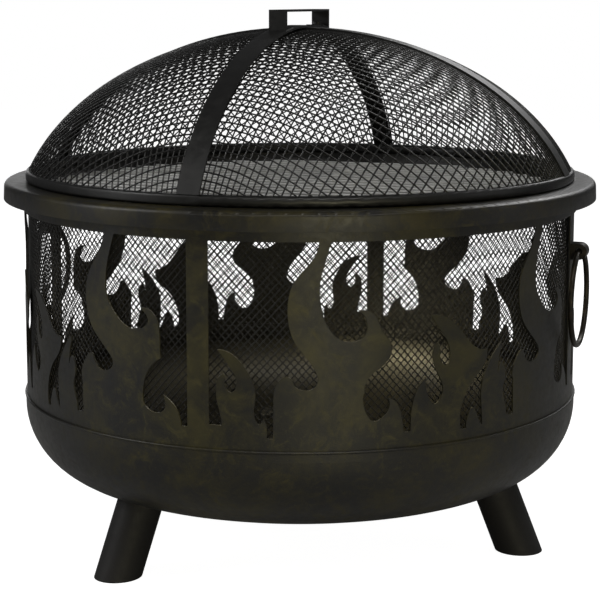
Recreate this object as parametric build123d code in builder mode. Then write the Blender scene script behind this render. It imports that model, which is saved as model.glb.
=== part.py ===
from build123d import *
import math
import os

# Fire pit with grate. Millimetres, +Z up, ground at Z = 0, handles on the X axis.
os.makedirs("parts", exist_ok=True)

# Heights above the ground
seam_z = 160.0  # mouth of the bowl
lip_z = 360.0  # bottom edge of the top rim
rim_top_z = 377.6
ledge_z = 361.0  # where the cooking grate rests
rest_gap = 0.2  # loose pieces stand this far above what they rest on
dome_centre_z = 319.0  # centre of the lid's ellipse
handle_top_z = 549.0

# Radii and sheet thicknesses
sheet = 1.5
panel_r = 285.0
bowl_r = 286.5
bowl_wall = 10.0  # straight part of the bowl below its mouth
bowl_bottom_z = 38.0
knuckle_r = 77.0
rim_r = 304.3
screen_r = 280.0
dome_r = 295.0
dome_rise = 210.0

# Legs
tube_r = 22.5
foot_circle_r = 237.0
leg_lean = 22.0
bolt_r = 4.0

# The crown meets the knuckle and the ground clearance without a kink
bowl_depth = seam_z - bowl_wall - bowl_bottom_z
crown_r = (knuckle_r**2 - (bowl_r - knuckle_r) ** 2 - bowl_depth**2) / (2 * (knuckle_r - bowl_depth))

# Flame pattern, one quarter turn of the panel.
# Each point is (degrees from the post, millimetres below the rim lip).
# Each list inside an outline is one smooth edge, and it starts where the last one ended.
beside_post = [
    [(2.1, 11.5)],
    [(2.1, 178)],
    [(4.5, 178)],
    [(4.2, 167), (3.6, 155), (3.5, 141), (4.0, 134), (4.8, 131), (5.2, 136)],
    [(5.3, 143), (6.3, 147.5), (7.3, 140), (6.5, 127.5), (5.0, 116.5), (3.8, 109)],
    [(6.1, 111.5), (8.7, 123.5), (10.4, 139.5), (10.7, 155), (10.5, 168), (11.3, 175.5), (12.2, 170)],
    [(12.8, 177)],
    [(12.8, 188.5)],
    [(13.9, 188.5)],
    [(14.0, 150)],
    [(14.4, 140), (15.3, 134), (16.5, 132), (17.2, 134), (17.7, 139.5), (19.8, 144.5), (22.0, 135)],
    [(20.4, 118), (17.8, 101), (16.6, 80), (16.6, 65), (17.8, 46), (20.6, 29.5), (22.1, 11.5)],
]
between_flames = [
    [(24.3, 11.5)],
    [(23.2, 30), (22.3, 51), (22.7, 73), (24.3, 91.5), (27.5, 101), (30.5, 95.5), (30.8, 84), (29.3, 73)],
    [(31.2, 74), (32.6, 80), (33.6, 92), (35.3, 104), (35.0, 117), (32.3, 129), (30.4, 147)],
    [(30.4, 162), (32.2, 174), (34.5, 167), (34.8, 153.5)],
    [(36.2, 157), (37.4, 170), (37.9, 186)],
    [(39.2, 186)],
    [(39.3, 170), (40.2, 151), (42.4, 136.5)],
    [(42.5, 152), (44.1, 163), (45.7, 153), (44.9, 137.5), (43.7, 123), (44.4, 106.5)],
    [(45.1, 113), (45.5, 125.5), (46.6, 128), (47.2, 116), (45.7, 99), (43.2, 81)],
    [(46.4, 84.5), (49.5, 97), (52.2, 112), (55.9, 118.5)],
    [(54.8, 135), (52.2, 147.5), (50.1, 165), (49.8, 190)],
    [(51.1, 190)],
    [(51.3, 180), (52.6, 171), (53.6, 179), (54.9, 189)],
    [(54.7, 175), (54.6, 153), (56.6, 130), (59.6, 114)],
    [(59.6, 120)],
    [(58.9, 131), (58.7, 143), (59.5, 133.5), (60.8, 143), (60.1, 160), (60.8, 173), (61.2, 185)],
    [(63.2, 185)],
    [(63.1, 152)],
    [(63.5, 137), (65.9, 126), (67.1, 136), (69.6, 140), (71.4, 135), (71.2, 126)],
    [(69.3, 116.5), (66.0, 99.5), (64.6, 77), (65.2, 54), (67.9, 32.5), (69.8, 11.5)],
]
before_next_post = [
    [(72.3, 11.5)],
    [(71.0, 30.5), (70.1, 51.5), (70.4, 71), (72.5, 86), (76.5, 97), (79.8, 90.5), (78.3, 77)],
    [(80.7, 79), (82.1, 90), (82.4, 107), (82.6, 121)],
    [(80.1, 132), (78.7, 151), (79.3, 168), (82.2, 171.5), (83.1, 155)],
    [(85.2, 163), (86.7, 181.5)],
    [(87.9, 181.5)],
    [(87.9, 11.5)],
]


def turned(angle, radius, height):
    """Upright plane facing outward at this angle, radius and height."""
    a = math.radians(angle)
    return Plane(
        origin=(radius * math.cos(a), radius * math.sin(a), height),
        x_dir=(-math.sin(a), math.cos(a), 0),
        z_dir=(math.cos(a), math.sin(a), 0),
    )


def smooth_outline(runs, centre):
    """Closed outline of smooth edges, wrapped on the panel about this centre angle."""
    last = None
    for run in [*runs, runs[0]]:
        ends = [(panel_r * math.sin(math.radians(a - centre)), -drop) for a, drop in run]
        if last and len(ends) == 1:
            Line(last, ends[0])
        elif last:
            Spline(last, *ends)
        last = ends[-1]


def bowl_edge(grow):
    """Half outline of the bowl's outer shape grown by this much: crown, knuckle and wall."""
    knuckle_x = bowl_r - knuckle_r
    knuckle_z = seam_z - bowl_wall
    crown_z = bowl_bottom_z + crown_r
    reach = math.degrees(math.atan2(knuckle_x, crown_z - knuckle_z))
    CenterArc((0, crown_z), crown_r + grow, 270, reach)
    CenterArc((knuckle_x, knuckle_z), knuckle_r + grow, 270 + reach, 90 - reach)
    Line((bowl_r + grow, knuckle_z), (bowl_r + grow, seam_z))


def bowl_form(grow):
    """Solid filling the bowl's outer shape, grown by this much."""
    with BuildPart() as form:
        with BuildSketch(Plane.XZ):
            with BuildLine():
                bowl_edge(grow)
                Polyline((bowl_r + grow, seam_z), (0, seam_z), (0, bowl_bottom_z - grow))
            make_face()
        revolve(axis=Axis.Z)
    return form.part


def tube_ring(inner, outer, low, high):
    """Plain hoop of sheet between two radii and two heights."""
    with BuildPart() as hoop:
        with BuildSketch(Plane.XY.offset(low)):
            Circle(outer)
            Circle(inner, mode=Mode.SUBTRACT)
        extrude(amount=high - low)
    return hoop


def dome_band(low, high, width, across):
    """Strap that follows the dome, between two ellipses grown by low and high."""
    with BuildPart() as band:
        with BuildSketch(across):
            with Locations((0, dome_centre_z)):
                Ellipse(dome_r + high[0], dome_rise + high[1])
                Ellipse(dome_r + low[0], dome_rise + low[1], mode=Mode.SUBTRACT)
            with Locations((0, lid_ring_top_z)):
                Rectangle(700, 500, align=(Align.CENTER, Align.MAX), mode=Mode.SUBTRACT)
        extrude(amount=width / 2, both=True)
    return band


def save(piece, name):
    piece.part.label = name
    export_step(piece.part, f"parts/{name}.step")


# Bowl: a thin pressed shell with a rolled lip at its mouth
leg_plane = Plane(
    origin=(foot_circle_r, 0, 0),
    x_dir=(0, 1, 0),
    z_dir=(-math.sin(math.radians(leg_lean)), 0, math.cos(math.radians(leg_lean))),
)
bolt_hole_r = bolt_r + 0.25
leg_angles = [0, 120, 240]

bowl_outside = bowl_form(0)
saddle_outside = bowl_form(3)

with BuildPart() as drill:
    with BuildSketch(leg_plane):
        Circle(bolt_hole_r)
    extrude(amount=120)

with BuildPart() as leg_drills:
    for angle in leg_angles:
        add(drill.part.rotate(Axis.Z, angle))

with BuildPart() as fire_bowl:
    with BuildSketch(Plane.XZ):
        with BuildLine():
            bowl_edge(0)
            Line((bowl_r, seam_z), (bowl_r - sheet, seam_z))
            bowl_edge(-sheet)
            Line((0, bowl_bottom_z + sheet), (0, bowl_bottom_z))
        make_face()
        with Locations((bowl_r - 0.25, seam_z - 1.2)):
            Circle(1.2)
    revolve(axis=Axis.Z)
    add(leg_drills.part, mode=Mode.SUBTRACT)

# Leg: a leaning tube, cut level at the ground and saddled to the bowl
with BuildPart() as leg_bore:
    with BuildSketch(leg_plane.offset(-20)):
        Circle(tube_r - sheet)
    extrude(amount=150)
    add(saddle_outside, mode=Mode.SUBTRACT)
    with Locations((foot_circle_r, 0, 2)):
        Box(120, 120, 60, align=(Align.CENTER, Align.CENTER, Align.MAX), mode=Mode.SUBTRACT)

with BuildPart() as leg:
    with BuildSketch(leg_plane.offset(-20)):
        Circle(tube_r)
    extrude(amount=130)
    add(bowl_outside, mode=Mode.SUBTRACT)
    with Locations((foot_circle_r, 0, 0)):
        Box(120, 120, 60, align=(Align.CENTER, Align.CENTER, Align.MAX), mode=Mode.SUBTRACT)
    add(leg_bore.part, mode=Mode.SUBTRACT)
    add(drill.part, mode=Mode.SUBTRACT)

# Leg fastener: pan-head bolt from inside the bowl, nut inside the tube
head_seat = 75.5
with BuildPart() as leg_bolt:
    with BuildSketch(leg_plane.offset(58)):
        Circle(bolt_r)
    extrude(amount=20)
    with BuildSketch(leg_plane.offset(head_seat)):
        Circle(8)
    extrude(amount=6)
    add(fire_bowl.part, mode=Mode.SUBTRACT)

with BuildPart() as leg_nut:
    with BuildSketch(leg_plane.offset(63.5)):
        RegularPolygon(7.5, 6)
        Circle(bolt_r + 0.03, mode=Mode.SUBTRACT)
    extrude(amount=9.5)
    add(saddle_outside, mode=Mode.SUBTRACT)

with BuildPart() as leg_bolts:
    for angle in leg_angles:
        add(leg_bolt.part.rotate(Axis.Z, angle))

with BuildPart() as leg_nuts:
    for angle in leg_angles:
        add(leg_nut.part.rotate(Axis.Z, angle))

# Flame panel: one rolled sheet; three windows repeat every quarter turn
with BuildPart() as flame_cutter:
    for runs, centre in ((beside_post, 12.1), (between_flames, 47.0), (before_next_post, 80.1)):
        with BuildSketch(turned(centre - 90, panel_r + 4, lip_z)):
            with BuildLine():
                smooth_outline(runs, centre)
            make_face()
        extrude(amount=-38)

panel_foot_z = seam_z - 9
panel_top_z = rim_top_z - sheet
flame_panel = tube_ring(panel_r - sheet, panel_r, panel_foot_z, panel_top_z)
with flame_panel:
    for quarter in range(4):
        add(flame_cutter.part.rotate(Axis.Z, 90 * quarter), mode=Mode.SUBTRACT)

# Spark screen and the bands that hem it
screen_foot_z = seam_z - 9
spark_screen = tube_ring(screen_r - sheet, screen_r, screen_foot_z, panel_top_z - 2)
hem_top = tube_ring(screen_r, panel_r - sheet, 352, 372)
hem_bottom = tube_ring(screen_r, panel_r - sheet, screen_foot_z, 166)

# Top rim: turned-down lip, flat top, step down to the grate's ledge
with BuildPart() as top_rim:
    with BuildSketch(Plane.XZ) as rim_section:
        with BuildLine():
            Polyline(
                (rim_r - sheet, lip_z),
                (rim_r, lip_z),
                (rim_r - 0.7, rim_top_z),
                (276, rim_top_z),
                (274.5, rim_top_z - 1.2),
                (274.5, ledge_z),
                (262, ledge_z),
                (262, ledge_z - sheet),
                (276, ledge_z - sheet),
                (276, rim_top_z - sheet),
                (rim_r - 0.7 - sheet, rim_top_z - sheet),
                close=True,
            )
        make_face()
        fillet(rim_section.vertices().group_by(Axis.Y)[-1].sort_by(Axis.X)[-1], 5)
    revolve(axis=Axis.Z)

# Cooking grate: outer wire, cross wires inside it, bars lying on both
grate_r = 267.5
wire_r = 2.5
bar_r = 1.5
bar_pitch = 24.0
bar_count = 21
wire_z = ledge_z + rest_gap + wire_r
bar_z = wire_z + wire_r + bar_r

with BuildPart() as grate_ring:
    with BuildSketch(Plane.XZ):
        with Locations((grate_r, wire_z)):
            Circle(wire_r)
    revolve(axis=Axis.Z)

with BuildPart() as grate_cross_wires:
    for x in (-130, 0, 130):
        with BuildSketch(Plane.XZ):
            with Locations((x, wire_z)):
                Circle(wire_r)
        extrude(amount=math.sqrt(grate_r**2 - x**2), both=True)
    add(grate_ring.part, mode=Mode.SUBTRACT)

with BuildPart() as grate_bars:
    for i in range(bar_count):
        y = bar_pitch * (i - (bar_count - 1) / 2)
        with BuildSketch(Plane.YZ):
            with Locations((y, bar_z)):
                Circle(bar_r)
        extrude(amount=math.sqrt(grate_r**2 - y**2), both=True)

# Ring handles: a lug on the panel with an eye that the ring hangs in
eye_r = 3.5
eye_x = 293.0
eye_z = 312.5
lug_r = 8.0
lug_width = 16.0
ring_wire_r = 2.75
ring_r = 47.2
ring_top_z = eye_z + 0.3

with BuildPart() as handle_lug:
    with BuildSketch(Plane.XZ):
        with Locations((eye_x, eye_z)):
            Circle(lug_r)
            Rectangle(14, 2 * lug_r, align=(Align.MAX, Align.CENTER))
            Circle(eye_r, mode=Mode.SUBTRACT)
    extrude(amount=lug_width / 2, both=True)
    with Locations((0, 0, eye_z)):
        Cylinder(panel_r, 40, mode=Mode.SUBTRACT)

with BuildPart() as handle_ring:
    with Locations(Location((eye_x, 0, ring_top_z - ring_r), (0, 90, 0))):
        Torus(ring_r, ring_wire_r)

# Lid: rolled ring, mesh dome, two crossing straps and a bent strap handle
lid_turn = -2.0
lid_ring_top_z = rim_top_z + 10.6
strap_width = 22.0
strap = 2.0
mesh_thickness = 1.6
turn = math.radians(lid_turn)
lid_x = Plane(
    origin=(0, 0, 0),
    x_dir=(math.cos(turn), math.sin(turn), 0),
    z_dir=(math.sin(turn), -math.cos(turn), 0),
)
lid_y = Plane(
    origin=(0, 0, 0),
    x_dir=(-math.sin(turn), math.cos(turn), 0),
    z_dir=(math.cos(turn), math.sin(turn), 0),
)

with BuildPart() as lid_ring:
    with BuildSketch(Plane.XZ):
        with Locations((276.5, (rim_top_z + rest_gap + lid_ring_top_z) / 2)):
            RectangleRounded(11, lid_ring_top_z - rim_top_z - rest_gap, 3)
    revolve(axis=Axis.Z)

with BuildPart() as lid_mesh:
    with BuildSketch(Plane.XZ):
        with Locations((0, dome_centre_z)):
            Ellipse(dome_r, dome_rise)
            Ellipse(dome_r - mesh_thickness, dome_rise - mesh_thickness, mode=Mode.SUBTRACT)
        with Locations((0, lid_ring_top_z)):
            Rectangle(700, 700, align=(Align.CENTER, Align.MAX), mode=Mode.SUBTRACT)
        with Locations((0, dome_centre_z)):
            Rectangle(400, 700, align=(Align.MAX, Align.CENTER), mode=Mode.SUBTRACT)
    revolve(axis=Axis.Z)

strap_lower = dome_band((0.05, 0.05), (strap, strap), strap_width, lid_x)
strap_upper = dome_band((0.1, strap + 0.05), (strap + 0.1, 2 * strap + 0.05), strap_width, lid_y)

handle_width = 19.0
handle_strip = 2.2
handle_half = 62.5
foot_length = 19.0
bolt_u = 52.0
pad_z = 528.4  # strap's top under the handle's legs
with BuildPart() as lid_handle:
    with BuildSketch(lid_y):
        with BuildLine():
            Polyline(
                (-handle_half, pad_z - 1),
                (-handle_half, handle_top_z),
                (handle_half, handle_top_z),
                (handle_half, pad_z - 1),
                (handle_half - foot_length, pad_z + 1.4),
                (handle_half - foot_length, pad_z + 4.6),
                (handle_half - handle_strip, pad_z + 2.2),
                (handle_half - handle_strip, handle_top_z - handle_strip),
                (-handle_half + handle_strip, handle_top_z - handle_strip),
                (-handle_half + handle_strip, pad_z + 2.2),
                (-handle_half + foot_length, pad_z + 4.6),
                (-handle_half + foot_length, pad_z + 1.4),
                close=True,
            )
        make_face()
    extrude(amount=handle_width / 2, both=True)
    add(strap_upper.part, mode=Mode.SUBTRACT)

bolt_places = [lid_y.from_local_coords((u, 0, 0)) for u in (-bolt_u, bolt_u)]
lid_bolt_r = 2.5
with BuildPart() as bolt_drill:
    for place in bolt_places:
        with Locations((place.X, place.Y, 525)):
            Cylinder(lid_bolt_r + 0.2, 40)

for drilled in (lid_handle, strap_upper, lid_mesh):
    with drilled:
        add(bolt_drill.part, mode=Mode.SUBTRACT)

with BuildPart() as handle_bolts:
    for place in bolt_places:
        with Locations((place.X, place.Y, 515)):
            Cylinder(lid_bolt_r, 18, align=(Align.CENTER, Align.CENTER, Align.MIN))
        with Locations((place.X, place.Y, 530.5)):
            Cylinder(4.5, 5, align=(Align.CENTER, Align.CENTER, Align.MIN))
    add(lid_handle.part, mode=Mode.SUBTRACT)

with BuildPart() as handle_nuts:
    for place in bolt_places:
        with BuildSketch(Plane.XY.offset(518)):
            with Locations((place.X, place.Y)):
                RegularPolygon(4.6, 6)
                Circle(lid_bolt_r + 0.03, mode=Mode.SUBTRACT)
        extrude(amount=7)
    add(lid_mesh.part, mode=Mode.SUBTRACT)

save(fire_bowl, "fire_bowl")
save(leg_bolts, "leg_bolts")
save(leg_nuts, "leg_nuts")
save(flame_panel, "flame_panel")
save(spark_screen, "spark_screen")
save(hem_top, "screen_hem_top")
save(hem_bottom, "screen_hem_bottom")
save(top_rim, "top_rim")
save(grate_ring, "grate_ring")
save(grate_bars, "grate_bars")
save(grate_cross_wires, "grate_cross_wires")
save(lid_ring, "lid_ring")
save(lid_mesh, "lid_mesh")
save(strap_lower, "lid_strap_lower")
save(strap_upper, "lid_strap_upper")
save(lid_handle, "lid_handle")
save(handle_bolts, "lid_handle_bolts")
save(handle_nuts, "lid_handle_nuts")

for number, angle in enumerate(leg_angles, start=1):
    with BuildPart() as placed_leg:
        add(leg.part.rotate(Axis.Z, angle))
    save(placed_leg, f"leg_{number}")

for side, angle in (("right", 0), ("left", 180)):
    with BuildPart() as placed_lug:
        add(handle_lug.part.rotate(Axis.Z, angle))
    save(placed_lug, f"handle_bracket_{side}")
    with BuildPart() as placed_ring:
        add(handle_ring.part.rotate(Axis.Z, angle))
    save(placed_ring, f"handle_ring_{side}")
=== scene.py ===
"""Fire pit with grate: the looks, the floor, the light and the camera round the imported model."""

import math

import bpy
import numpy as np
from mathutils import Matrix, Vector


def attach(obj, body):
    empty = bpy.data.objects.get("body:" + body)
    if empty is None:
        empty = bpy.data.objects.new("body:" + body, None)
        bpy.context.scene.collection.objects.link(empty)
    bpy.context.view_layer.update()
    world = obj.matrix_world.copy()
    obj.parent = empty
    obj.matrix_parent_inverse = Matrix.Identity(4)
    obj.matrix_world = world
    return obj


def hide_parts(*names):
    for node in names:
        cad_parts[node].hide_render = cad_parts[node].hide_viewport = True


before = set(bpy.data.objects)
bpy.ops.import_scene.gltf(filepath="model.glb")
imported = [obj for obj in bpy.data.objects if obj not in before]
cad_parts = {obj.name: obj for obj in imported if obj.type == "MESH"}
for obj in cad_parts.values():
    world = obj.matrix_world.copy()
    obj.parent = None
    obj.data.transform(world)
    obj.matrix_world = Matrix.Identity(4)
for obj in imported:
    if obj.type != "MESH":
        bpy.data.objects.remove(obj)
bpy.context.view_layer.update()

# ------------------------------------------------------------------ sizes, in metres
dome_across = 0.2942        # middle of the lid's mesh, from the axis
dome_rise = 0.2092
dome_centre_z = 0.319
dome_foot_z = 0.3850        # the mesh ends inside the lid's ring
dome_turn = math.radians(-2)
dome_pitch = 0.0075
dome_wire_r = 0.00079
dome_sample = 0.006
stretch_mean = 0.67         # how much the cloth gives when it is pressed, per square metre
stretch_bias = 0.37
gather = 0.61
weld_depth = 0.00035        # each set of wires lies this far from the cloth's middle
last_wire_gap = 0.008

screen_r = 0.27935          # middle of the spark screen
screen_low = 0.1525
screen_high = 0.3725
screen_wire_r = 0.00057
screen_wires = 254          # of each set
screen_slope = 1.098        # how steeply they climb
screen_sample = 0.010


# ------------------------------------------------------------------ small helpers
def new_mesh(name, points, quads, smooth=True):
    """An object from arrays of points and four-cornered faces."""
    mesh = bpy.data.meshes.new(name)
    mesh.vertices.add(len(points))
    mesh.vertices.foreach_set("co", np.asarray(points, np.float32).ravel())
    mesh.loops.add(quads.size)
    mesh.loops.foreach_set("vertex_index", quads.astype(np.int32).ravel())
    mesh.polygons.add(len(quads))
    mesh.polygons.foreach_set("loop_start", np.arange(0, quads.size, 4, dtype=np.int32))
    mesh.polygons.foreach_set("loop_total", np.full(len(quads), 4, np.int32))
    mesh.update(calc_edges=True)
    mesh.validate()
    mesh.polygons.foreach_set("use_smooth", np.full(len(mesh.polygons), smooth))
    piece = bpy.data.objects.new(name, mesh)
    bpy.context.scene.collection.objects.link(piece)
    return piece


def wires(name, lines, outwards, radius, sides=4):
    """One mesh of round wires. Each line is its points, and outwards the surface's normal at each of them."""
    points, quads, count = [], [], 0
    turn = np.arange(sides) * 2 * math.pi / sides
    step = np.arange(sides)
    for line, out in zip(lines, outwards):
        along = np.gradient(line, axis=0)
        along /= np.linalg.norm(along, axis=1, keepdims=True)
        across = np.cross(along, out)
        across /= np.linalg.norm(across, axis=1, keepdims=True)
        up = np.cross(across, along)
        ring = (
            line[:, None, :]
            + radius * np.cos(turn)[None, :, None] * across[:, None, :]
            + radius * np.sin(turn)[None, :, None] * up[:, None, :]
        )
        n = len(line)
        points.append(ring.reshape(-1, 3))
        first = count + np.arange(n - 1)[:, None] * sides + step[None, :]
        beside = count + np.arange(n - 1)[:, None] * sides + (step[None, :] + 1) % sides
        quads.append(np.stack([first, beside, beside + sides, first + sides], -1).reshape(-1, 4))
        if sides == 4:
            last = count + (n - 1) * sides
            quads.append(np.array([[count + 3, count + 2, count + 1, count],
                                   [last, last + 1, last + 2, last + 3]]))
        count += n * sides
    return new_mesh(name, np.concatenate(points), np.concatenate(quads))


# ------------------------------------------------------------------ the lid's wire cloth
arc_turn = np.linspace(0, 1.35, 1500)
arc_step = np.sqrt((dome_across * np.cos(arc_turn)) ** 2 + (dome_rise * np.sin(arc_turn)) ** 2)
arc_way = np.concatenate([[0], np.cumsum((arc_step[1:] + arc_step[:-1]) / 2 * np.diff(arc_turn))])
dome_reach = float(np.interp(math.acos((dome_foot_z - dome_centre_z) / dome_rise), arc_turn, arc_way))


def pressed(u, v):
    """Where a point of the flat cloth goes when it is pressed: its way from the crown, and its direction.
    The cloth gives most on the bias, half-way between its two sets of wires."""
    far, angle = np.hypot(u, v), np.arctan2(v, u)
    way = far * (1 + (stretch_mean - stretch_bias * np.cos(4 * angle)) * far ** 2)
    return way, angle - gather * far ** 2 * np.sin(4 * angle)


def dome_point(u, v):
    """A point of the flat cloth on the dome, and the dome's normal there."""
    way, angle = pressed(u, v)
    angle = angle + dome_turn
    t = np.interp(way, arc_way, arc_turn)
    place = np.stack([dome_across * np.sin(t) * np.cos(angle),
                      dome_across * np.sin(t) * np.sin(angle),
                      dome_centre_z + dome_rise * np.cos(t)], -1)
    out = np.stack([np.sin(t) * np.cos(angle) / dome_across,
                    np.sin(t) * np.sin(angle) / dome_across,
                    np.cos(t) / dome_rise], -1)
    return place, out / np.linalg.norm(out, axis=-1, keepdims=True)


def dome_cloth(name, lengthwise):
    """Half the lid's cloth: the wires that run one way, welded where they cross the others."""
    lines, outwards = [], []
    fine = np.linspace(0, dome_reach, 2000)
    for i in range(-60, 60):
        beside = (i + 0.5) * dome_pitch
        inside = fine[pressed(fine, np.full_like(fine, beside))[0] < dome_reach]
        if len(inside) == 0 or pressed(0, beside)[0] > dome_reach - last_wire_gap:
            continue
        end = inside[-1]
        along = np.linspace(-end, end, max(4, round(2 * end / dome_sample) + 1))
        side = np.full(len(along), beside)
        place, out = dome_point(along, side) if lengthwise else dome_point(side, along)
        lines.append(place + out * weld_depth * (1 if lengthwise else -1))
        outwards.append(out)
    piece = wires(name, lines, outwards, dome_wire_r, 6)
    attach(piece, "lid")
    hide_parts("lid_mesh")
    return piece


lid_cloth_x = dome_cloth("lid_cloth_x", True)
lid_cloth_y = dome_cloth("lid_cloth_y", False)


# ------------------------------------------------------------------ the spark screen round the fire
def screen_cloth(name, way):
    """Half the spark screen: the wires that climb one way round it."""
    climb = np.linspace(screen_low, screen_high, round((screen_high - screen_low) / screen_sample) + 1)
    r = screen_r + way * 0.6 * screen_wire_r
    lines, outwards = [], []
    for i in range(screen_wires):
        angle = 2 * math.pi * i / screen_wires + way * (climb - screen_low) / (screen_slope * screen_r)
        out = np.stack([np.cos(angle), np.sin(angle), np.zeros_like(angle)], -1)
        lines.append(out * r + np.stack([0 * climb, 0 * climb, climb], -1))
        outwards.append(out)
    piece = wires(name, lines, outwards, screen_wire_r, 4)
    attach(piece, "pit")
    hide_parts("spark_screen")
    return piece


screen_cloth_left = screen_cloth("screen_cloth_left", 1)
screen_cloth_right = screen_cloth("screen_cloth_right", -1)


# ------------------------------------------------------------------ materials
painted_reflection_way = math.radians(-72)   # a warm reflection is painted into the enamel most on this side, the side that faces the camera


class Nodes:
    """Short names for building a material's nodes."""

    def __init__(self, name):
        self.material = bpy.data.materials.new(name)
        self.material.use_nodes = True
        self.tree = self.material.node_tree
        self.shader = self.tree.nodes["Principled BSDF"]
        self.place = self.tree.nodes.new("ShaderNodeTexCoord").outputs["Object"]

    def link(self, a, b):
        self.tree.links.new(a, b)

    def node(self, kind, **settings):
        made = self.tree.nodes.new(kind)
        for key, value in settings.items():
            setattr(made, key, value)
        return made

    def noise(self, scale, detail=4.0, rough=0.55, warp=0.0):
        made = self.node("ShaderNodeTexNoise")
        self.link(self.place, made.inputs["Vector"])
        made.inputs["Scale"].default_value = scale
        made.inputs["Detail"].default_value = detail
        made.inputs["Roughness"].default_value = rough
        made.inputs["Distortion"].default_value = warp
        return made.outputs["Fac"]

    def painted_reflection_side(self, low, high):
        """Where the enamel's painted warm reflection falls: 1 on the side of the fire pit that faces this way
        round its axis, 0 elsewhere.
        """
        made = self.node("ShaderNodeVectorMath", operation="DOT_PRODUCT")
        self.link(self.place, made.inputs[0])
        made.inputs[1].default_value = (math.cos(painted_reflection_way), math.sin(painted_reflection_way), 0)
        return self.spread(made.outputs["Value"], low, high)

    def cells(self, scale, feature="F1", out="Distance"):
        made = self.node("ShaderNodeTexVoronoi", feature=feature)
        self.link(self.place, made.inputs["Vector"])
        made.inputs["Scale"].default_value = scale
        return made.outputs[out]

    def spread(self, value, low, high, to_low=0.0, to_high=1.0):
        made = self.node("ShaderNodeMapRange", interpolation_type="SMOOTHSTEP")
        self.link(value, made.inputs["Value"])
        for key, number in zip(("From Min", "From Max", "To Min", "To Max"), (low, high, to_low, to_high)):
            made.inputs[key].default_value = number
        return made.outputs["Result"]

    def times(self, a, b):
        made = self.node("ShaderNodeMath", operation="MULTIPLY")
        self.link(a, made.inputs[0])
        if isinstance(b, float):
            made.inputs[1].default_value = b
        else:
            self.link(b, made.inputs[1])
        return made.outputs[0]

    def plus(self, a, b):
        made = self.node("ShaderNodeMath", operation="ADD", use_clamp=False)
        self.link(a, made.inputs[0])
        self.link(b, made.inputs[1])
        return made.outputs[0]

    def mixed(self, share, a, b):
        made = self.node("ShaderNodeMix", data_type="RGBA")
        self.link(share, made.inputs[0])
        for colour, socket in ((a, made.inputs[6]), (b, made.inputs[7])):
            if isinstance(colour, tuple):
                socket.default_value = (*colour, 1)
            else:
                self.link(colour, socket)
        return made.outputs[2]

    def bump(self, height, metres, after=None):
        made = self.node("ShaderNodeBump")
        made.inputs["Strength"].default_value = 1.0
        made.inputs["Distance"].default_value = metres
        self.link(height, made.inputs["Height"])
        if after is not None:
            self.link(after, made.inputs["Normal"])
        return made.outputs["Normal"]

    def rounded_edges(self, radius):
        made = self.node("ShaderNodeBevel", samples=4)
        made.inputs["Radius"].default_value = radius
        return made.outputs["Normal"]

    def finish(self, colour, roughness, normal, metallic=0.0, specular=0.5):
        self.link(colour, self.shader.inputs["Base Color"])
        self.link(roughness, self.shader.inputs["Roughness"])
        self.link(normal, self.shader.inputs["Normal"])
        self.shader.inputs["Metallic"].default_value = metallic
        self.shader.inputs["Specular IOR Level"].default_value = specular
        return self.material


def enamel(name, dark, bronze, patchy, satin, specular=0.5, edge=0.0006):
    """Baked satin enamel on steel: charcoal with cloudy bronze patches, fine specks and orange peel. The
    patches and the rubbed specks are painted strongest on the side that faces the camera, a painted warm
    reflection.
    """
    n = Nodes(name)
    clouds = n.spread(n.noise(12.0, 9.0, 0.70, 0.5), 0.40, 0.66)
    rub = n.spread(n.noise(60.0, 9.0, 0.78, 0.7), 0.48, 0.70)
    specks = n.spread(n.noise(520.0, 2.0, 0.5), 0.60, 0.78)
    # painted warm reflection: the bronze clouds and the lighter rubbed specks show fully on the side facing
    # the camera and at 0.22 elsewhere; the clouds and specks themselves are the enamel's own patchy tone and
    # wear
    painted_reflection = n.spread(n.painted_reflection_side(0.13, 0.27), 0.0, 1.0, 0.22, 1.0)
    warm = n.mixed(n.times(n.times(clouds, patchy), painted_reflection), dark, bronze)
    wear_and_painted_reflection = n.mixed(n.times(n.times(rub, 0.65 * patchy), painted_reflection), warm, tuple(1.9 * c for c in bronze))
    colour = n.mixed(n.times(specks, 0.30), wear_and_painted_reflection, tuple(1.5 * c + 0.006 for c in bronze))
    dull = n.plus(n.spread(rub, 0.0, 1.0, satin, satin + 0.10),
                  n.spread(n.noise(160.0, 3.0, 0.6), 0.3, 0.7, -0.03, 0.05))
    peel = n.bump(n.noise(650.0, 2.0, 0.45), 0.00007, n.rounded_edges(edge) if edge else None)
    waves = n.bump(n.noise(11.0, 2.0, 0.4), 0.0009, peel)
    return n.finish(colour, dull, waves, specular=specular)


def wire_paint(name, colour, satin):
    """Dipped black paint on thin wire, thicker in some places than in others."""
    n = Nodes(name)
    runs = n.spread(n.noise(90.0, 4.0, 0.6), 0.35, 0.70)
    paint = n.mixed(runs, colour, tuple(1.9 * c + 0.002 for c in colour))
    dull = n.spread(n.noise(300.0, 3.0, 0.5), 0.3, 0.7, satin - 0.06, satin + 0.08)
    return n.finish(paint, dull, n.bump(n.noise(1500.0, 2.0, 0.5), 0.00003))


def bright_plating(name, colour, satin, tarnish):
    """Bright plated steel, a little clouded and tarnished."""
    n = Nodes(name)
    haze = n.spread(n.noise(26.0, 6.0, 0.65, 0.4), 0.40, 0.75)
    spots = n.spread(n.noise(240.0, 4.0, 0.6), 0.58, 0.80)
    clouded = n.mixed(haze, colour, tuple(0.72 * c for c in colour))
    stained = n.mixed(n.times(spots, 0.6), clouded, tarnish)
    dull = n.plus(n.spread(haze, 0.0, 1.0, satin, satin + 0.10), n.spread(spots, 0.0, 1.0, 0.0, 0.15))
    drawn = n.bump(n.noise(900.0, 3.0, 0.5), 0.00003)
    return n.finish(stained, dull, drawn, metallic=0.5)


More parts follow.
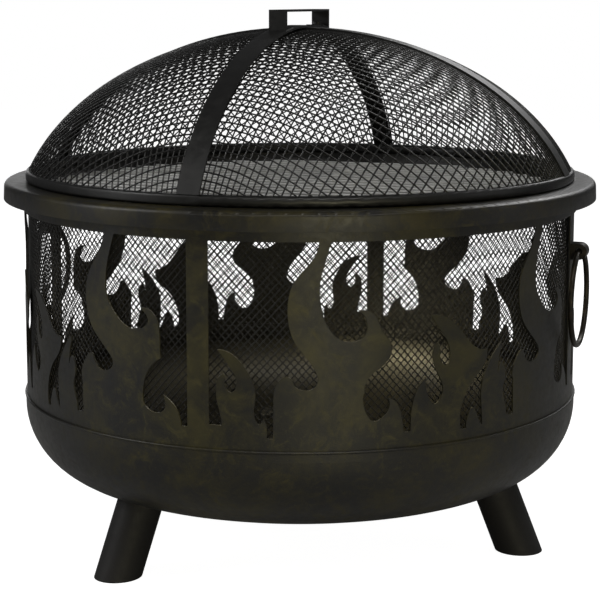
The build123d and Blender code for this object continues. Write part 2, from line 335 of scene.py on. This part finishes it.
def old_bronze(name):
    """Dark antique bronze, brown in random clouds, with lighter rubbed specks at random."""
    n = Nodes(name)
    rub = n.spread(n.noise(120.0, 6.0, 0.7, 0.8), 0.42, 0.72)
    cloud = n.spread(n.noise(34.0, 4.0, 0.6), 0.35, 0.70)
    brown = n.mixed(cloud, (0.010, 0.009, 0.008), (0.026, 0.021, 0.014))
    colour = n.mixed(n.times(rub, 0.5), brown, (0.070, 0.054, 0.032))
    dull = n.spread(n.noise(200.0, 4.0, 0.6), 0.3, 0.7, 0.34, 0.52)
    pits = n.bump(n.noise(420.0, 3.0, 0.55), 0.00008, n.rounded_edges(0.0005))
    return n.finish(colour, dull, pits, metallic=0.6)


def zinc(name):
    """Bright zinc on bolts and nuts, with its small crystals."""
    n = Nodes(name)
    crystals = n.cells(420.0, out="Color")
    grey = n.node("ShaderNodeRGBToBW")
    n.link(crystals, grey.inputs["Color"])
    colour = n.mixed(grey.outputs["Val"], (0.16, 0.16, 0.155), (0.26, 0.26, 0.25))
    stained = n.mixed(n.spread(n.noise(150.0, 4.0, 0.6), 0.52, 0.75, 0.0, 0.6), colour, (0.12, 0.11, 0.09))
    dull = n.spread(n.noise(300.0, 3.0, 0.5), 0.3, 0.7, 0.28, 0.45)
    return n.finish(stained, dull, n.bump(n.noise(700.0, 2.0, 0.5), 0.00004, n.rounded_edges(0.0004)),
                    metallic=1.0)


looks = {
    "bowl_enamel": enamel("bowl_enamel", (0.0078, 0.0075, 0.0068), (0.032, 0.027, 0.005), 0.85, 0.43),
    "panel_enamel": enamel("panel_enamel", (0.0066, 0.0065, 0.0060), (0.037, 0.032, 0.008), 1.0, 0.46),
    "rim_enamel": enamel("rim_enamel", (0.0062, 0.0062, 0.0061), (0.030, 0.024, 0.003), 0.9, 0.42, edge=0),
    "leg_paint": enamel("leg_paint", (0.0135, 0.0128, 0.0130), (0.020, 0.018, 0.016), 0.4, 0.60, 0.35),
    "lid_paint": enamel("lid_paint", (0.0050, 0.0050, 0.0050), (0.010, 0.010, 0.009), 0.4, 0.40, edge=0),
    "mesh_wire": wire_paint("mesh_wire", (0.0035, 0.0034, 0.0032), 0.33),
    "screen_wire": wire_paint("screen_wire", (0.0038, 0.0036, 0.0032), 0.46),
    "chrome_wire": bright_plating("chrome_wire", (0.92, 0.92, 0.91), 0.36, (0.34, 0.30, 0.24)),
    "antique_bronze": old_bronze("antique_bronze"),
    "zinc_steel": zinc("zinc_steel"),
}

slot_of = {
    "fire_bowl": "bowl_enamel",
    "flame_panel": "panel_enamel",
    "screen_hem_top": "screen_wire",
    "screen_hem_bottom": "screen_wire",
    "top_rim": "rim_enamel",
    "grate_ring": "chrome_wire",
    "grate_bars": "chrome_wire",
    "grate_cross_wires": "chrome_wire",
    "leg_bolts": "zinc_steel",
    "leg_nuts": "zinc_steel",
    "lid_handle_bolts": "lid_paint",
    "lid_handle_nuts": "zinc_steel",
}
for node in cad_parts:
    if node.startswith("leg_") and node not in slot_of:
        slot_of[node] = "leg_paint"
    elif node.startswith("handle_"):
        slot_of[node] = "antique_bronze"
    elif node.startswith("lid_") and node not in slot_of:
        slot_of[node] = "lid_paint"


def dress(piece, look):
    piece.data.materials.clear()
    piece.data.materials.append(looks[look])


for node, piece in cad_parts.items():
    dress(piece, slot_of.get(node, "screen_wire"))

# the two long rolled rings shade without facets
for node in ("lid_ring", "top_rim"):
    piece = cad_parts[node]
    piece.modifiers.new("weld", "WELD").merge_threshold = 0.00002
    piece.data.polygons.foreach_set("use_smooth", np.ones(len(piece.data.polygons), bool))
    piece.modifiers.new("even_normals", "WEIGHTED_NORMAL").keep_sharp = True

for piece in (lid_cloth_x, lid_cloth_y):
    dress(piece, "mesh_wire")
for piece in (screen_cloth_left, screen_cloth_right):
    dress(piece, "screen_wire")


# ------------------------------------------------------------------ floor, light and camera
floor_seen = 0.98           # the floor is paper white to the eye,
floor_glow = 0.03           # but throws little light back up


def floor_material():
    n = Nodes("studio_floor")
    n.shader.inputs["Base Color"].default_value = (0.40, 0.40, 0.40, 1)
    n.shader.inputs["Roughness"].default_value = 0.9
    n.shader.inputs["Specular IOR Level"].default_value = 0.0
    n.shader.inputs["Emission Color"].default_value = (1, 1, 1, 1)
    ray = n.node("ShaderNodeLightPath").outputs["Is Camera Ray"]
    n.link(n.spread(ray, 0.0, 1.0, floor_glow, floor_seen), n.shader.inputs["Emission Strength"])
    return n.material


floor_half = 6.0
floor_corners = floor_half * np.array([[-1, -1, 0], [1, -1, 0], [1, 1, 0], [-1, 1, 0]])
floor = new_mesh("studio_floor", floor_corners, np.array([[0, 1, 2, 3]]), smooth=False)
floor.data.materials.append(floor_material())

world = bpy.data.worlds.new("studio")
bpy.context.scene.world = world
world.use_nodes = True
tree = world.node_tree
tree.nodes.clear()
output = tree.nodes.new("ShaderNodeOutputWorld")
seen = tree.nodes.new("ShaderNodeBackground")
seen.inputs["Color"].default_value = (1, 1, 1, 1)
seen.inputs["Strength"].default_value = 1.0
lit = tree.nodes.new("ShaderNodeBackground")
lit.inputs["Color"].default_value = (0.98, 0.99, 1.0, 1)
lit.inputs["Strength"].default_value = 0.07
path = tree.nodes.new("ShaderNodeLightPath")
either = tree.nodes.new("ShaderNodeMixShader")
tree.links.new(path.outputs["Is Camera Ray"], either.inputs[0])
tree.links.new(lit.outputs[0], either.inputs[1])
tree.links.new(seen.outputs[0], either.inputs[2])
tree.links.new(either.outputs[0], output.inputs["Surface"])


def softbox(name, place, target, wide, high, watts, colour=(1, 1, 1)):
    light = bpy.data.lights.new(name, "AREA")
    light.shape = "RECTANGLE"
    light.size = wide
    light.size_y = high
    light.energy = watts
    light.color = colour
    made = bpy.data.objects.new(name, light)
    made.location = place
    made.rotation_euler = (Vector(target) - Vector(place)).to_track_quat("-Z", "Y").to_euler()
    made.visible_camera = False
    bpy.context.scene.collection.objects.link(made)
    return made


camera_turn = math.radians(18.75)
camera_dip = math.radians(8.2)
camera_far = 1.7339
camera_high = 0.5596
camera_back = Vector((math.sin(camera_turn), -math.cos(camera_turn), 0))
camera_right = Vector((math.cos(camera_turn), math.sin(camera_turn), 0))
up = Vector((0, 0, 1))
middle = Vector((0, 0, 0.25))   # where most of the lights point


def studio(right, back, high):
    """A place in the studio, as the camera sees it: right of, in front of and above the fire pit's foot."""
    return camera_right * right + camera_back * back + up * high


cream = (1.0, 0.98, 0.94)
amber = (1.0, 0.92, 0.60)
ember = (1.0, 0.86, 0.50)
softbox("softbox_left", studio(-2.4, 0.7, 0.9), middle, 0.7, 1.6, 6)
softbox("softbox_right", studio(2.4, 0.5, 0.9), middle, 0.6, 1.6, 2.5)
softbox("softbox_top", studio(0.2, 1.5, 2.6), middle, 1.6, 0.9, 25, cream)
softbox("softbox_back", studio(1.2, -1.7, 1.8), middle, 1.6, 0.8, 24)
softbox("softbox_low", studio(0.5, 2.4, 0.3), studio(0, 0, 0.2), 0.9, 0.5, 9, amber)
softbox("strip_left", studio(-2.0, 0.65, 1.6), middle, 0.12, 0.9, 11)
softbox("softbox_behind", studio(-0.7, -2.4, 0.5), middle, 0.9, 0.6, 5)

# two small lamps in the bowl, under the grate: one looks down, one at the wall behind on the right
softbox("glow_inside", studio(0, 0, 0.335), studio(0, 0, 0), 0.3, 0.3, 0.4, ember)
glow_low = softbox("glow_low", studio(-0.12, -0.03, 0.22), studio(0.14, -0.24, 0.1), 0.05, 0.05, 0.1, ember)
glow_low.data.spread = math.radians(60)

camera_data = bpy.data.cameras.new("camera")
camera_data.sensor_width = 36
camera_data.lens = 100.4
camera_data.shift_y = -0.10
camera_data.clip_start = 0.05
camera_data.clip_end = 50
camera = bpy.data.objects.new("camera", camera_data)
camera.location = studio(0, camera_far, camera_high)
camera.rotation_euler = (math.radians(90) - camera_dip, 0, camera_turn)
bpy.context.scene.collection.objects.link(camera)
bpy.context.scene.camera = camera

bpy.context.scene.view_settings.view_transform = "Standard"
